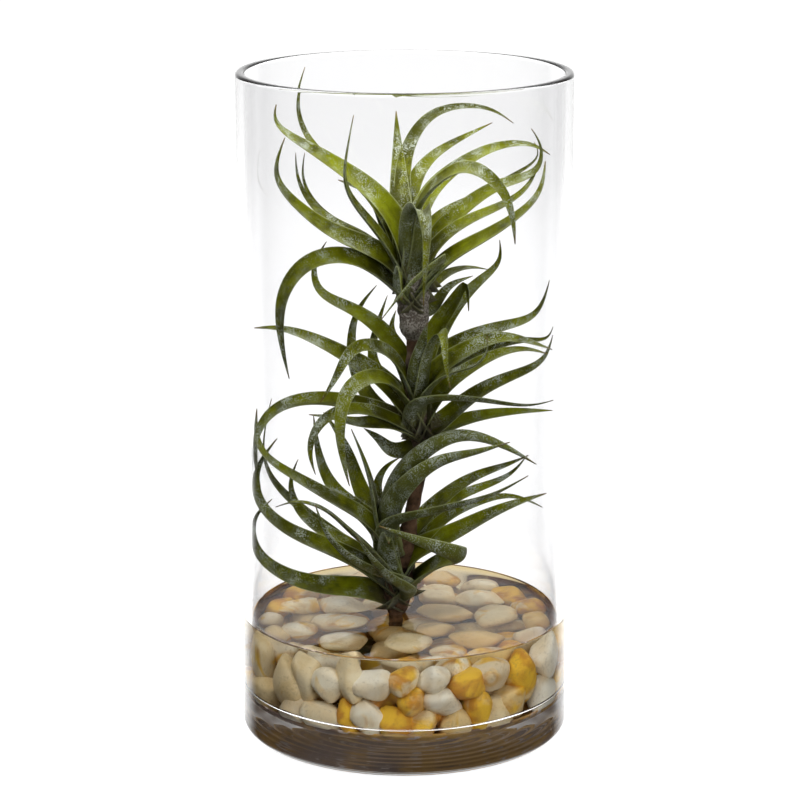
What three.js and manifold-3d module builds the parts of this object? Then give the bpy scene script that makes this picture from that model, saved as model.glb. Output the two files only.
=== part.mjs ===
// An air-plant-like succulent standing in a clear glass cylinder vase. A woody stem is held by
// river pebbles under shallow water and carries three rosettes of long channelled leaves.
// Millimetres, +Z up, origin at the centre of the vase's underside, front towards -Y.
import * as THREE from 'three';
import { mergeVertices } from 'three/addons/utils/BufferGeometryUtils.js';
import Module from 'manifold-3d';

const wasm = await Module();
wasm.setup();

// Driving dimensions.
const gap = 0.3;
const vase = {
  radius: 75, height: 304.8, wall: 4, floor: 17.5,
  foot: 4, lip: 1.5, bowl: 11, corner: 5, sides: 48,
};
const waterLevel = 53;
const inner = vase.radius - vase.wall;
const clear = inner - gap;
const stemRadius = 3.2;

// The stem's axis, [x, y, z], from its cut end among the pebbles to the top rosette.
const stemRoute = [
  [-4, 2, 24], [-4, 0, 50], [-2, 0, 75], [2, 0, 95], [5, 0, 110],
  [8, 0, 128], [7, 0, 140], [4, 0, 165], [4, 0, 184], [4, 0, 208],
];

// Each rosette's sheathed crown, as [radius, z] up its outline.
const crowns = [
  [[3.3, 50], [6, 56], [8, 62], [8.5, 72], [6.5, 84], [4.5, 94], [3.3, 101]],
  [[3.3, 130], [5, 136], [6.5, 143], [6.5, 152], [5.5, 163], [4, 172], [3.3, 177]],
  [[3.3, 183], [7, 187], [8, 195], [8.5, 204], [7, 214], [4.5, 224], [2, 230]],
];

// Upper faces turn this much from the axis towards the front, as they do on a plant grown to one light.
const frontTurn = 0.9;
// How much wider than its stated width a blade grows just above its sheath.
const leafFullness = 1.35;

// Leaves: [width, height of the base on the stem, [x, y, z] of the points the midrib passes].
const topLeaves = [
  [11, 204, [[-10, 0, 244], [-28, 0, 260], [-46, 0, 272], [-58, 0, 284], [-57, -2, 290]]],
  [10.5, 200, [[-10, -6, 221], [-30, -14, 233], [-46, -20, 246], [-56, -22, 262], [-52, -20, 278]]],
  [9, 197, [[-15, -10, 217], [-30, -18, 224], [-43, -22, 221], [-52, -24, 209], [-54, -24, 193],
    [-51, -22, 170]]],
  [10, 203, [[7, -10, 245], [17, -22, 260], [29, -32, 266], [41, -38, 258], [47, -42, 235]]],
  [9.5, 198, [[20, -10, 221], [35, -16, 232], [49, -18, 242], [59, -16, 253], [62, -10, 266]]],
  [10, 204, [[-3, 8, 237], [-10, 18, 244], [-21, 30, 247], [-31, 40, 249]]],
  [9.5, 205, [[-2, 10, 243], [-3, 25, 258], [-4, 40, 281]]],
  [6.5, 206, [[-1, 15, 247], [1, 30, 263], [12, 42, 278], [29, 48, 282], [42, 46, 280], [51, 42, 275]]],
  [8, 204, [[12, 10, 248], [26, 16, 260], [43, 18, 268], [59, 14, 269], [66, 8, 266]]],
  [9, 199, [[1, -10, 227], [2, -22, 244], [5, -35, 249], [9, -48, 231]]],
  [7.5, 200, [[-9, -8, 228], [-19, -20, 244], [-26, -27, 259], [-25, -28, 274], [-22, -27, 289]]],
  [8, 202, [[17, 5, 231], [30, 10, 243], [46, 12, 252], [61, 10, 260], [62, 8, 269], [57, 6, 278]]],
  [7, 200, [[8, -14, 233], [9, -30, 248], [10, -46, 241], [9, -54, 226], [8, -58, 211]]],
  [7.5, 204, [[3, 18, 247], [12, 32, 260], [26, 40, 268], [41, 44, 275]]],
  [7, 200, [[18, -4, 230], [30, -2, 238], [45, 4, 244], [56, 8, 252], [62, 12, 264]]],
  [6, 197, [[14, -12, 217], [17, -20, 223], [8, -30, 219], [-1, -38, 212], [-10, -44, 202]]],
  [5.5, 205, [[-20, 14, 250], [-42, 22, 268], [-49, 25, 284], [-45, 24, 303]]],
  [5.5, 203, [[-25, 22, 228], [-42, 34, 237], [-50, 38, 250], [-51, 38, 262]]],
];
const middleLeaves = [
  [10, 140, [[-12, 0, 164], [-28, 0, 175], [-45, 0, 184], [-60, 0, 188], [-69, 0, 188]]],
  [8.5, 142, [[-3, 5, 174], [-14, 10, 187], [-28, 14, 195], [-40, 16, 203], [-42, 18, 211],
    [-36, 20, 224]]],
  [7.5, 137, [[-12, 2, 148], [-28, 4, 152], [-45, 4, 153], [-60, 2, 148], [-68, 0, 136],
    [-68, 0, 121], [-66, 4, 102]]],
  [8, 138, [[-4, -14, 163], [-14, -26, 171], [-24, -36, 168], [-28, -44, 155], [-27, -46, 141],
    [-24, -46, 127]]],
  [10, 140, [[14, -4, 167], [28, -8, 179], [43, -8, 185], [56, -6, 183], [67, -4, 179]]],
  [8.5, 143, [[14, 14, 177], [24, 22, 193], [36, 26, 205], [44, 26, 214], [44, 24, 224]]],
  [8, 142, [[14, 8, 170], [28, 14, 179], [46, 16, 185], [60, 14, 191], [67, 10, 208]]],
  [8, 141, [[-3, -8, 172], [-11, -16, 182], [-22, -24, 184], [-30, -30, 173], [-37, -34, 162]]],
  [8, 136, [[7, -14, 155], [15, -22, 160], [34, -24, 160], [54, -20, 157], [67, -10, 157]]],
  [7, 136, [[-12, -14, 151], [-26, -26, 156], [-36, -34, 153], [-41, -38, 143], [-39, -38, 130]]],
  [8.5, 138, [[18, -2, 159], [32, 0, 170], [45, 2, 176], [57, 4, 177], [66, 4, 175]]],
  [7.5, 135, [[17, 4, 142], [32, 8, 154], [50, 10, 163], [65, 10, 172], [69, 8, 183]]],
  [7, 134, [[18, 6, 139], [32, 10, 143], [50, 10, 146], [69, 6, 148]]],
  [7, 140, [[10, -10, 170], [14, -20, 188], [17, -28, 192], [18, -36, 183], [20, -40, 170]]],
  [10, 143, [[10, 4, 174], [16, 8, 188], [23, 8, 199], [28, 4, 207], [29, 0, 196]]],
  [7.5, 138, [[12, -14, 163], [24, -24, 174], [32, -28, 178], [36, -29, 184], [36, -29, 191]]],
  [8, 135, [[-8, -12, 146], [-20, -22, 149], [-31, -28, 153], [-42, -32, 156]]],
  [6, 138, [[-12, 10, 148], [-21, 22, 158], [-25, 32, 173], [-22, 36, 188], [-13, 38, 200]]],
];
const bottomLeaves = [
  [10, 60, [[-20, -10, 78], [-37, -16, 89], [-55, -18, 99], [-66, -16, 112], [-67, -12, 124],
    [-58, -6, 138]]],
  [9, 57, [[-18, -4, 64], [-38, -6, 67], [-57, -8, 74], [-69, -8, 87], [-69, -6, 100], [-61, -2, 108]]],
  [10, 67, [[-18, -14, 101], [-32, -22, 113], [-49, -26, 125], [-63, -24, 137], [-66, -18, 147],
    [-66, -14, 154]]],
  [9, 67, [[-9, -8, 102], [-3, -16, 123], [10, -22, 138], [25, -26, 145], [41, -28, 142], [58, -28, 132]]],
  [11, 60, [[6, -6, 83], [20, -10, 92], [36, -10, 101], [52, -8, 108], [65, -6, 112]]],
  [10.5, 57, [[10, -14, 76], [21, -26, 86], [26, -38, 91], [8, -50, 102], [-11, -54, 111]]],
  [9, 66, [[-8, -12, 102], [0, -24, 120], [15, -32, 134], [32, -36, 140], [46, -38, 145]]],
  [8.5, 65, [[-6, -16, 99], [8, -28, 108], [23, -34, 114], [39, -36, 120], [54, -36, 129]]],
  [10, 65, [[-13, -6, 97], [-15, -10, 113], [-19, -12, 130], [-24, -12, 144]]],
  [9, 66, [[-18, 4, 97], [-30, 8, 106], [-38, 10, 118], [-41, 10, 131], [-42, 8, 145]]],
  [9, 64, [[-14, 8, 94], [-22, 16, 110], [-28, 20, 127], [-38, 22, 143]]],
  [8, 62, [[-20, 14, 75], [-39, 26, 84], [-51, 32, 93], [-55, 34, 105], [-51, 34, 117]]],
  [7.5, 62, [[-15, -20, 88], [-26, -32, 103], [-37, -40, 115], [-46, -44, 119], [-56, -38, 115]]],
  [7.5, 58, [[0, -16, 71], [-12, -30, 81], [-25, -40, 92], [-34, -44, 104], [-39, -44, 118]]],
  [8, 64, [[6, 6, 92], [18, 12, 104], [33, 14, 114], [48, 14, 120], [58, 12, 125]]],
  [7, 62, [[8, -2, 86], [20, -2, 99], [35, 0, 106], [50, 2, 108], [64, 2, 103]]],
  [6, 57, [[2, -16, 67], [-6, -32, 79], [-14, -44, 92], [-21, -50, 105]]],
  [7, 66, [[-9, 14, 96], [-13, 24, 105], [-9, 30, 114], [-2, 34, 118]]],
];

// Pebbles against the wall: [angle from the front, z, half length, half height].
const wallPebbles = [
  [-51, 33, 10, 12], [-46, 22, 10, 8], [-40, 40, 7.5, 11], [-33, 22, 10.5, 8], [-31, 39, 7, 10],
  [-22, 23, 5.5, 9], [-21, 42, 7, 10], [-14, 24, 7.5, 8.5], [-12, 40, 9.5, 8], [-4, 22, 7.5, 8.5],
  [-1, 43, 7.5, 7], [3, 33, 7.5, 6], [6, 21, 8, 7.5], [11, 43, 7.5, 7], [15, 32, 8.5, 7],
  [19, 21, 7.5, 7.5], [26, 40, 9.5, 7], [29, 25, 6.5, 10.5], [36, 42, 9.5, 7], [38, 22, 9, 8],
  [45, 27, 7.5, 9.5], [50, 37, 8.5, 12],
];
// Pebbles at the surface of the bed: [x, y, half length, half width, turn].
const topPebbles = [
  [-50, 18, 12, 9, 10], [-29, 19, 13, 9, -15], [-32, -6, 13, 10, 20], [-48, -17, 9, 8, 60],
  [-27, -31, 12, 9, 10], [-8, 24, 12, 9, 40], [1, -32, 10, 13, 0], [14, -15, 9, 8, 20],
  [20, -47, 8, 9, 0], [19, 8, 12, 10, -30], [33, -28, 12, 10, 10], [15, 36, 10, 12, 20],
  [36, 32, 11, 12, 60], [42, 4, 11, 12, -20], [-20, 42, 13, 9, 25],
];
// Shares of the inner radius where the bowl-shaped floor has a ring of points.
const floorShares = [0, 0.25, 0.45, 0.6, 0.75, 0.86, 0.93, 0.97];
const pebbleDepth = 8;
const core = { radius: 61, top: 37 };

function solid(geometry) {
  geometry.deleteAttribute('normal');
  geometry.deleteAttribute('uv');
  const merged = mergeVertices(geometry, 1e-4);
  const index = merged.index.array;
  const kept = [];
  for (let i = 0; i < index.length; i += 3) {
    const [a, b, c] = [index[i], index[i + 1], index[i + 2]];
    if (a !== b && b !== c && a !== c) kept.push(a, b, c);
  }
  return new wasm.Manifold(new wasm.Mesh({
    numProp: 3,
    vertProperties: new Float32Array(merged.attributes.position.array),
    triVerts: new Uint32Array(kept),
  }));
}

function geometryOf(shape) {
  const { vertProperties, triVerts } = shape.getMesh();
  const geometry = new THREE.BufferGeometry();
  geometry.setAttribute('position', new THREE.BufferAttribute(vertProperties, 3));
  geometry.setIndex(new THREE.BufferAttribute(triVerts, 1));
  geometry.computeVertexNormals();
  return geometry;
}

function largest(shape) {
  return shape.decompose().reduce((a, b) => (b.volume() > a.volume() ? b : a));
}

function turned(profile, sides) {
  const points = profile.map(([r, z]) => new THREE.Vector2(r, z));
  return solid(new THREE.LatheGeometry(points, sides).rotateX(Math.PI / 2));
}

function arc(cx, cz, radius, from, to, steps) {
  const points = [];
  for (let i = 0; i <= steps; i += 1) {
    const angle = THREE.MathUtils.degToRad(from + ((to - from) * i) / steps);
    points.push([cx + radius * Math.cos(angle), cz + radius * Math.sin(angle)]);
  }
  return points;
}

function curveThrough(points) {
  return new THREE.CatmullRomCurve3(points.map((p) => new THREE.Vector3(...p)), false, 'centripetal');
}

const stemCurve = curveThrough(stemRoute);

function stemAxisAt(z) {
  let above = stemRoute.findIndex((p) => p[2] >= z);
  if (above < 1) above = stemRoute.length - 1;
  const [a, b] = [stemRoute[above - 1], stemRoute[above]];
  const share = Math.min((z - a[2]) / (b[2] - a[2]), 1);
  return new THREE.Vector3(a[0] + share * (b[0] - a[0]), a[1] + share * (b[1] - a[1]), z);
}

// The inner floor out to reach, as [radius, z]. It falls from the wall by bowl * (1 - share^2.6), with a
// corner that climbs the wall.
function bowlOutline(reach, wallRadius, lift) {
  const stations = [...floorShares.map((share) => share * wallRadius).filter((r) => r < reach), reach];
  return stations.map((r) => {
    const share = r / wallRadius;
    return [r, vase.floor - vase.bowl * (1 - share ** 2.6) + vase.corner * share ** 24 + lift];
  });
}

// Walls, thick bowl-shaped floor, rounded foot and lip.
function vaseSolid() {
  const { radius, height, foot, lip, sides } = vase;
  const profile = [
    [0, 0],
    ...arc(radius - foot, foot, foot, -90, 0, 3),
    ...arc(radius - lip, height - lip, lip, 0, 90, 2),
    ...arc(inner + lip, height - lip, lip, 90, 180, 2),
    ...bowlOutline(inner, inner, 0).reverse(),
  ];
  return turned(profile, sides);
}

// A turned body that stands on the bowl.
function bowlBody(radius, lift, to) {
  return turned([...bowlOutline(radius, clear, lift), [radius, to], [0, to]], vase.sides);
}

// Rings of `around` points with one tip point, closed by a fan at the base.
function closedSweep(rings, tip) {
  const around = rings[0].length;
  const points = [...rings.flat(), tip];
  const faces = [];
  for (let i = 0; i < rings.length - 1; i += 1) {
    for (let j = 0; j < around; j += 1) {
      const k = (j + 1) % around;
      const [a, b] = [i * around + j, i * around + k];
      faces.push(a, b, b + around, a, b + around, a + around);
    }
  }
  const last = (rings.length - 1) * around;
  for (let j = 0; j < around; j += 1) faces.push(last + j, last + ((j + 1) % around), points.length - 1);
  for (let j = 1; j < around - 1; j += 1) faces.push(0, j + 1, j);
  const geometry = new THREE.BufferGeometry();
  geometry.setAttribute('position', new THREE.Float32BufferAttribute(points.flatMap((p) => p.toArray()), 3));
  geometry.setIndex(faces);
  return solid(geometry);
}

// A leaf: a channelled blade along its midrib, widest near the base, running out to a point.
function leafSolid([width, baseHeight, midrib], grow = 0) {
  const base = stemAxisAt(baseHeight);
  const curve = curveThrough([base.toArray(), ...midrib]);
  const steps = 4 + midrib.length;
  const outward = new THREE.Vector3(midrib[1][0], midrib[1][1], 0).sub(base.clone().setZ(0)).normalize();
  const upper = new THREE.Vector3(0, -frontTurn, 1).sub(outward);
  const rings = [];
  for (let i = 0; i <= steps; i += 1) {
    const t = (i / steps) * 0.97;
    const along = curve.getTangentAt(t);
    upper.addScaledVector(along, -upper.dot(along)).normalize();
    const side = new THREE.Vector3().crossVectors(upper, along);
    const centre = curve.getPointAt(t);
    const half = (width / 2) * leafFullness * (1 - t ** 1.7) + grow;
    const rise = 0.4 * half;
    const thickness = 0.7 + 0.6 * (1 - t) + grow;
    const section = [[half, rise], [0, thickness], [-half, rise], [0, -thickness]];
    rings.push(section.map(([s, u]) => centre.clone().addScaledVector(side, s).addScaledVector(upper, u)));
  }
  return closedSweep(rings, curve.getPointAt(1).addScaledVector(curve.getTangentAt(1), grow));
}

function stemSolid(grow = 0) {
  const rings = [];
  const steps = 26;
  for (let i = 0; i <= steps; i += 1) {
    const centre = stemCurve.getPointAt(i / steps);
    rings.push(arc(0, 0, stemRadius + grow, 0, 315, 7)
      .map(([x, y]) => new THREE.Vector3(centre.x + x, centre.y + y, centre.z)));
  }
  let shape = closedSweep(rings, stemCurve.getPointAt(1).add(new THREE.Vector3(0, 0, 1 + grow)));
  for (const crown of crowns) {
    const outline = crown.map(([radius, z]) => arc(0, 0, radius + grow, 0, 330, 11)
      .map(([x, y]) => stemAxisAt(z).add(new THREE.Vector3(x, y, 0))));
    const top = stemAxisAt(crown.at(-1)[1]).add(new THREE.Vector3(0, 0, 1 + grow));
    shape = shape.add(closedSweep(outline, top));
  }
  return shape;
}

function pebbleSolid(place, halves, turn, grow) {
  const geometry = new THREE.SphereGeometry(1, 6, 3).rotateX(Math.PI / 2);
  geometry.scale(halves[0] + grow, halves[1] + grow, halves[2] + grow);
  geometry.rotateZ(THREE.MathUtils.degToRad(turn));
  geometry.translate(...place);
  return solid(geometry);
}

// The place, half sizes and turn of each stone in the wall course and at the surface.
function pebblePlaces() {
  const stones = [];
  const againstWall = (angle, z, length, height) => {
    const radius = clear - pebbleDepth - 0.2;
    const turn = THREE.MathUtils.degToRad(angle);
    const place = [radius * Math.sin(turn), -radius * Math.cos(turn), z];
    stones.push([place, [length, pebbleDepth, height], angle]);
  };
  for (const row of wallPebbles) againstWall(...row);
  for (let i = 0; i < 13; i += 1) {
    againstWall(66 + 19 * i, 23, 10.5, 8.5);
    againstWall(70 + 18.3 * i, 40, 10, 11);
  }
  for (const [x, y, length, width, turn] of topPebbles) stones.push([[x, y, 43], [length, width, 8], turn]);
  return stones;
}

// The stones that show, joined round a plain core that stands for the ones hidden inside.
function pebbleBed(grow) {
  const stones = pebblePlaces().map(([place, halves, turn]) => pebbleSolid(place, halves, turn, grow));
  const heart = bowlBody(core.radius + grow, gap - grow, core.top + grow);
  return wasm.Manifold.union([heart, ...stones]);
}

const looks = {
  glass: { color: 0xe9eeee, roughness: 0.03, metalness: 0, transparent: true, opacity: 0.35 },
  water: { color: 0xdfe9ea, roughness: 0.02, metalness: 0, transparent: true, opacity: 0.4 },
  pebble: { color: 0xd9cdb4, roughness: 0.45, metalness: 0 },
  stem: { color: 0x5b4630, roughness: 0.8, metalness: 0 },
  leaf: { color: 0x76803f, roughness: 0.6, metalness: 0 },
};

const plant = new THREE.Group();

function addPiece(name, shape, look) {
  const mesh = new THREE.Mesh(geometryOf(shape), new THREE.MeshStandardMaterial(looks[look]));
  mesh.name = name;
  plant.add(mesh);
}

const grownStem = stemSolid(gap);
const bore = bowlBody(clear, gap, vase.height);
const air = [[0, waterLevel + gap], [clear, waterLevel + gap], [clear, vase.height], [0, vase.height]];
const airSpace = turned(air, vase.sides);

addPiece('glass_vase', vaseSolid(), 'glass');
addPiece('stem', stemSolid(), 'stem');
addPiece('pebble_bed', largest(pebbleBed(0).intersect(bore).subtract(grownStem)), 'pebble');

const pool = bowlBody(clear, gap, waterLevel).subtract(pebbleBed(gap)).subtract(grownStem);
addPiece('water', largest(pool), 'water');

let taken = grownStem;
const rosettes = { top: topLeaves, middle: middleLeaves, bottom: bottomLeaves };
for (const [rosette, leaves] of Object.entries(rosettes)) {
  leaves.forEach((leaf, i) => {
    const blade = largest(leafSolid(leaf).intersect(airSpace).subtract(taken));
    addPiece(`leaf_${rosette}_${String(i + 1).padStart(2, '0')}`, blade, 'leaf');
    taken = taken.add(leafSolid(leaf, gap));
  });
}

export default plant;
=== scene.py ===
import math
import bpy
import numpy as np
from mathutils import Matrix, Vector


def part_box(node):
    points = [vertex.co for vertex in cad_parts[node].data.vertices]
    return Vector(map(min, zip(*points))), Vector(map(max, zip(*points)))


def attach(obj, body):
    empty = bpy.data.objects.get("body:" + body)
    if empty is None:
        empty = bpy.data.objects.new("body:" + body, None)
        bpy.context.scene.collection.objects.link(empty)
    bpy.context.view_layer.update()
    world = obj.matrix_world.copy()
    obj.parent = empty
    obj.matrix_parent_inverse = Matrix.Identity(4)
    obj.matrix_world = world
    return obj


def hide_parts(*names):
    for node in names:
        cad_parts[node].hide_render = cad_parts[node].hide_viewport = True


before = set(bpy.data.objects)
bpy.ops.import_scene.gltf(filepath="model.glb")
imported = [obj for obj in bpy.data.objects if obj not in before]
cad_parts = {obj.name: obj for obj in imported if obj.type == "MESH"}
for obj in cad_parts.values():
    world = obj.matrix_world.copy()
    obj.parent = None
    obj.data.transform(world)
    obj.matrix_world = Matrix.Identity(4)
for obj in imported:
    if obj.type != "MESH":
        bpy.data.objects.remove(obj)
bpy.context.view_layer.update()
scene = bpy.context.scene
mm = 0.001

vaseLow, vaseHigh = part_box("glass_vase")
_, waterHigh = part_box("water")
pebbleLow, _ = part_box("pebble_bed")
vaseRadius = (vaseHigh.x - vaseLow.x) / 2
vaseTop = vaseHigh.z
waterLevel = waterHigh.z


# A mesh object from vertex rows and face rows, smooth shaded, riding on the one body.
# finishOfFace picks one of the finishes for each face, where there are several.
def newPiece(name, points, faces, finishes, attributes=None, finishOfFace=None):
    mesh = bpy.data.meshes.new(name)
    mesh.from_pydata(np.asarray(points).tolist(), [], faces)
    mesh.polygons.foreach_set("use_smooth", np.ones(len(mesh.polygons), bool))
    for label, values in (attributes or {}).items():
        layer = mesh.attributes.new(label, "FLOAT", "POINT")
        layer.data.foreach_set("value", np.asarray(values, np.float32).ravel())
    for finish in finishes:
        mesh.materials.append(finish)
    if finishOfFace is not None:
        mesh.polygons.foreach_set("material_index", np.asarray(finishOfFace, np.int32))
    mesh.update()
    piece = bpy.data.objects.new(name, mesh)
    scene.collection.objects.link(piece)
    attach(piece, "root")
    return piece


# Quads between neighbouring rings: point j of ring i joins j and j + 1 of ring i + 1.
def ringQuads(rings, around, first=0):
    i = np.arange(rings - 1)[:, None]
    j = np.arange(around)[None, :]
    a = first + i * around + j
    b = first + i * around + (j + 1) % around
    return np.stack([a, b, b + around, a + around], -1).reshape(-1, 4)


# The quads of a tube and one many-sided face over each end.
def closedSweep(rings, around, first=0):
    ends = first + np.arange(around)
    quads = ringQuads(rings, around, first).tolist()
    return quads + [ends[::-1].tolist(), (ends + (rings - 1) * around).tolist()]


# A natural cubic through the knots, by chord length, then `count` points evenly along it.
def smoothPath(knots, count):
    knots = np.asarray(knots, float)
    chord = np.r_[0, np.cumsum(np.linalg.norm(np.diff(knots, axis=0), axis=1))]
    gaps = np.diff(chord)
    system = np.eye(len(knots))
    inside = np.arange(1, len(knots) - 1)
    system[inside, inside - 1] = gaps[:-1]
    system[inside, inside] = 2 * (gaps[:-1] + gaps[1:])
    system[inside, inside + 1] = gaps[1:]
    slopes = np.diff(knots, axis=0) / gaps[:, None]
    target = np.zeros_like(knots)
    target[1:-1] = 6 * np.diff(slopes, axis=0)
    bend = np.linalg.solve(system, target)
    at = np.linspace(0, chord[-1], 400)
    k = np.clip(np.searchsorted(chord, at, "right") - 1, 0, len(gaps) - 1)
    h = gaps[k][:, None]
    u = (at - chord[k])[:, None]
    v = h - u
    fine = (bend[k] * v**3 + bend[k + 1] * u**3) / (6 * h)
    fine = fine + (knots[k] / h - bend[k] * h / 6) * v + (knots[k + 1] / h - bend[k + 1] * h / 6) * u
    run = np.r_[0, np.cumsum(np.linalg.norm(np.diff(fine, axis=0), axis=1))]
    even = np.linspace(0, run[-1], count)
    return np.stack([np.interp(even, run, fine[:, axis]) for axis in range(3)], -1)


def unit(rows):
    return rows / np.linalg.norm(rows, axis=-1, keepdims=True)


# The along, side and upper directions at each path point, turned as little as possible.
def carriedFrame(centre, upperStart):
    along = unit(np.gradient(centre, axis=0))
    upper = np.empty_like(along)
    current = np.asarray(upperStart, float)
    for i, direction in enumerate(along):
        current = current - direction * current.dot(direction)
        current = current / np.linalg.norm(current)
        upper[i] = current
    return along, np.cross(upper, along), upper


# A closed turned solid: each profile point at radius r and height z goes round the axis.
def latheSurface(profile, sides):
    profile = np.asarray(profile, float)
    turn = np.linspace(0, 2 * np.pi, sides, endpoint=False)
    ring = profile[1:-1]
    x = ring[:, :1] * np.cos(turn)
    y = ring[:, :1] * np.sin(turn)
    z = np.repeat(ring[:, 1:], sides, 1)
    points = np.stack([x, y, z], -1).reshape(-1, 3)
    points = np.vstack([points, [0, 0, profile[0, 1]], [0, 0, profile[-1, 1]]])
    quads = ringQuads(len(ring), sides).tolist()
    j = np.arange(sides)
    k = (j + 1) % sides
    last = (len(ring) - 1) * sides
    bottom = np.stack([np.full(sides, len(points) - 2), k, j], -1)
    top = np.stack([last + j, last + k, np.full(sides, len(points) - 1)], -1)
    return points, quads + bottom.tolist() + top.tolist()


# Points on a circle round (centreR, centreZ) from one angle to another, in degrees.
def arcPoints(centreR, centreZ, radius, start, end, count):
    angle = np.radians(np.linspace(start, end, count))
    return np.stack([centreR + radius * np.cos(angle), centreZ + radius * np.sin(angle)], -1)


def addNode(tree, kind, inputs=None, **settings):
    node = tree.nodes.new(kind)
    for key, value in settings.items():
        setattr(node, key, value)
    for key, value in (inputs or {}).items():
        if isinstance(value, bpy.types.NodeSocket):
            tree.links.new(value, node.inputs[key])
        else:
            node.inputs[key].default_value = value
    return node


# Colour first going to second as the factor goes from 0 to 1.
def mixColour(tree, factor, first, second, blend="MIX"):
    inputs = {0: factor, 6: first, 7: second}
    node = addNode(tree, "ShaderNodeMix", inputs, data_type="RGBA", blend_type=blend)
    return node.outputs[2]


def mixNumber(tree, factor, first, second):
    return addNode(tree, "ShaderNodeMix", {0: factor, 2: first, 3: second}, data_type="FLOAT").outputs[0]


def maths(tree, operation, *values, clamp=False):
    node = addNode(tree, "ShaderNodeMath", dict(enumerate(values)), operation=operation, use_clamp=clamp)
    return node.outputs[0]


# 0 to 1 as the value goes from low to high, eased at both ends.
def between(tree, value, low, high, start=0.0, end=1.0):
    inputs = {"Value": value, "From Min": low, "From Max": high, "To Min": start, "To Max": end}
    return addNode(tree, "ShaderNodeMapRange", inputs, interpolation_type="SMOOTHSTEP").outputs["Result"]


def colourRamp(tree, value, stops):
    ramp = addNode(tree, "ShaderNodeValToRGB", {"Fac": value})
    for i, (position, shade) in enumerate(stops):
        element = ramp.color_ramp.elements[i] if i < 2 else ramp.color_ramp.elements.new(position)
        element.position = position
        element.color = colour(*shade)
    return ramp.outputs["Color"]


def newMaterial(name):
    material = bpy.data.materials.new(name)
    material.use_nodes = True
    tree = material.node_tree
    tree.nodes.clear()
    shader = addNode(tree, "ShaderNodeBsdfPrincipled")
    output = addNode(tree, "ShaderNodeOutputMaterial", {"Surface": shader.outputs[0]})
    return material, tree, shader, output


def attribute(tree, name):
    return addNode(tree, "ShaderNodeAttribute", attribute_name=name).outputs["Fac"]


def noiseAt(tree, place, scale, detail):
    inputs = {"Vector": place, "Scale": scale, "Detail": detail}
    return addNode(tree, "ShaderNodeTexNoise", inputs).outputs["Fac"]


def colour(red, green, blue):
    return (red, green, blue, 1.0)


# Grains: fine noise kept only above a threshold, thinned by a slower noise.
def speckleGroup():
    group = bpy.data.node_groups.new("speckle", "ShaderNodeTree")
    for label, value in (("Size", 0.001), ("Cover", 0.5), ("Clump", 0.01)):
        socket = group.interface.new_socket(label, in_out="INPUT", socket_type="NodeSocketFloat")
        socket.default_value = value
    group.interface.new_socket("Mask", in_out="OUTPUT", socket_type="NodeSocketFloat")
    source = addNode(group, "NodeGroupInput")
    place = addNode(group, "ShaderNodeTexCoord").outputs["Object"]
    fineScale = maths(group, "DIVIDE", 1.0, source.outputs["Size"])
    slowScale = maths(group, "DIVIDE", 1.0, source.outputs["Clump"])
    fine = addNode(group, "ShaderNodeTexNoise", {"Vector": place, "Scale": fineScale, "Detail": 2.0})
    slow = addNode(group, "ShaderNodeTexNoise", {"Vector": place, "Scale": slowScale, "Detail": 2.0})
    bias = maths(group, "SUBTRACT", source.outputs["Cover"], 0.5)
    level = maths(group, "ADD", fine.outputs["Fac"], maths(group, "MULTIPLY", bias, 0.5))
    clump = maths(group, "SUBTRACT", slow.outputs["Fac"], 0.5)
    level = maths(group, "ADD", level, maths(group, "MULTIPLY", clump, 0.5))
    mask = between(group, level, 0.5, 0.62)
    addNode(group, "NodeGroupOutput", {"Mask": mask})
    return group


# Lengthwise lines: noise on the attribute across the piece, stretched along it.
def streakGroup():
    group = bpy.data.node_groups.new("streaks", "ShaderNodeTree")
    for label in ("Along", "Across", "Count", "Offset"):
        group.interface.new_socket(label, in_out="INPUT", socket_type="NodeSocketFloat")
    group.interface.new_socket("Value", in_out="OUTPUT", socket_type="NodeSocketFloat")
    source = addNode(group, "NodeGroupInput")
    across = maths(group, "MULTIPLY", source.outputs["Across"], source.outputs["Count"])
    along = maths(group, "MULTIPLY", source.outputs["Along"], 4.0)
    place = addNode(group, "ShaderNodeCombineXYZ", {"X": across, "Y": along, "Z": source.outputs["Offset"]})
    noise = addNode(group, "ShaderNodeTexNoise", {"Vector": place.outputs[0], "Scale": 1.0, "Detail": 3.0})
    addNode(group, "NodeGroupOutput", {"Value": noise.outputs["Fac"]})
    return group


speckle = speckleGroup()
streaks = streakGroup()


# One copy of a node group with its own values; returns its only output.
def placeGroup(tree, group, inputs):
    node = tree.nodes.new("ShaderNodeGroup")
    node.node_tree = group
    for key, value in inputs.items():
        if isinstance(value, bpy.types.NodeSocket):
            tree.links.new(value, node.inputs[key])
        else:
            node.inputs[key].default_value = value
    return node.outputs[0]


# Clear glass or water. Shadow rays go straight through, so soft light reaches what is inside.
def clearMaterial(name, tint, ior, density=0.0, murkTint=None):
    material, tree, shader, output = newMaterial(name)
    shader.inputs["Base Color"].default_value = tint
    shader.inputs["Roughness"].default_value = 0.0
    shader.inputs["IOR"].default_value = ior
    shader.inputs["Transmission Weight"].default_value = 1.0
    through = addNode(tree, "ShaderNodeBsdfTransparent", {"Color": colour(0.97, 0.975, 0.975)})
    shadow = addNode(tree, "ShaderNodeLightPath").outputs["Is Shadow Ray"]
    surface = addNode(tree, "ShaderNodeMixShader", {0: shadow, 1: shader.outputs[0], 2: through.outputs[0]})
    tree.links.new(surface.outputs[0], output.inputs["Surface"])
    if density:
        murk = addNode(tree, "ShaderNodeVolumeAbsorption", {"Color": murkTint, "Density": density})
        tree.links.new(murk.outputs[0], output.inputs["Volume"])
    return material


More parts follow.
